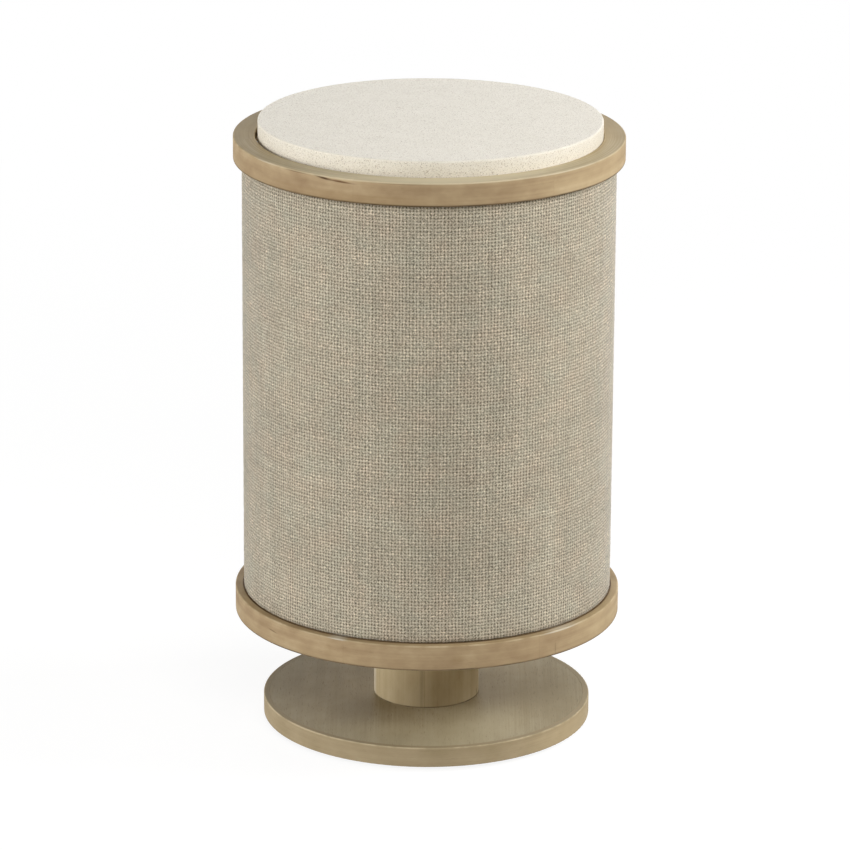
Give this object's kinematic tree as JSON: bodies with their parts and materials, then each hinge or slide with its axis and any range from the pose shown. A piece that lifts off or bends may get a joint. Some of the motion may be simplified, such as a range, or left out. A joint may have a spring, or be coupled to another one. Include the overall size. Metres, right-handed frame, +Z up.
{
  "type": "drum side table",
  "caption": "Round side table: loose stone top in a wood ring on a cloth-covered drum, with a short wood column and a round plinth on levelling glides.",
  "frame": {"origin": "on the floor, below the middle of the table", "axes": "+Z up; the front of the picture faces -Y and +X is its right"},
  "size_m": [0.4, 0.4, 0.645],
  "materials": {
    "stone": "honed, cream, fine flecks",
    "ring_wood": "solid ash, greyed stain, matt lacquer",
    "column_wood": "solid ash, greyed stain, matt lacquer",
    "plinth_band_wood": "solid ash, greyed stain, matt lacquer",
    "plinth_veneer": "ash veneer, greyed stain, matt lacquer",
    "plywood": "raw birch plywood",
    "softwood": "raw planed softwood",
    "woven_cloth": "coarse plain weave, taupe",
    "zinc_steel": "zinc plated",
    "silicone": "soft translucent dots",
    "nylon": "moulded, black"
  },
  "bodies": {
    "table": {"upper_ring_segment_1": "ring_wood", "upper_ring_segment_2": "ring_wood", "upper_ring_segment_3": "ring_wood", "upper_ring_segment_4": "ring_wood", "upper_ring_segment_5": "ring_wood", "upper_ring_segment_6": "ring_wood", "lower_ring_segment_1": "ring_wood", "lower_ring_segment_2": "ring_wood", "lower_ring_segment_3": "ring_wood", "lower_ring_segment_4": "ring_wood", "lower_ring_segment_5": "ring_wood", "lower_ring_segment_6": "ring_wood", "column_stave_1": "column_wood", "column_stave_2": "column_wood", "column_stave_3": "column_wood", "column_stave_4": "column_wood", "column_stave_5": "column_wood", "column_stave_6": "column_wood", "plinth_lipping": "plinth_band_wood", "plinth_top_veneer": "plinth_veneer", "plinth_bottom_veneer": "plinth_veneer", "deck_panel": "plywood", "floor_panel": "plywood", "drum_former": "plywood", "drum_skin_front": "plywood", "drum_skin_back": "plywood", "column_plug_lower": "plywood", "column_plug_upper": "plywood", "upper_ring_splines": "plywood", "lower_ring_splines": "plywood", "plinth_core": "plywood", "drum_stile_1": "softwood", "drum_stile_2": "softwood", "drum_stile_3": "softwood", "drum_stile_4": "softwood", "drum_stile_5": "softwood", "drum_stile_6": "softwood", "woven_wrap": "woven_cloth", "upper_ring_screws": "zinc_steel", "lower_ring_screws": "zinc_steel", "deck_screws": "zinc_steel", "floor_screws": "zinc_steel", "tie_rod": "zinc_steel", "tie_rod_nuts": "zinc_steel", "tie_rod_washers": "zinc_steel", "glide_sockets": "zinc_steel", "slab_bumpers": "silicone"},
    "slab": {"top_slab": "stone"},
    "glide_1": {"glide_pad_1": "nylon", "glide_stud_1": "zinc_steel"},
    "glide_2": {"glide_pad_2": "nylon", "glide_stud_2": "zinc_steel"},
    "glide_3": {"glide_pad_3": "nylon", "glide_stud_3": "zinc_steel"},
    "glide_4": {"glide_pad_4": "nylon", "glide_stud_4": "zinc_steel"}
  },
  "joints": [
    {"name": "slab_lift", "type": "slide", "parent": "table", "child": "slab", "axis": [0, 0, 1], "range_m": [0, 0.05]},
    {"name": "glide_1_screw", "type": "slide", "parent": "table", "child": "glide_1", "axis": [0, 0, -1], "range_m": [0, 0.008]},
    {"name": "glide_2_screw", "type": "slide", "parent": "table", "child": "glide_2", "axis": [0, 0, -1], "range_m": [0, 0.008]},
    {"name": "glide_3_screw", "type": "slide", "parent": "table", "child": "glide_3", "axis": [0, 0, -1], "range_m": [0, 0.008]},
    {"name": "glide_4_screw", "type": "slide", "parent": "table", "child": "glide_4", "axis": [0, 0, -1], "range_m": [0, 0.008]}
  ]
}
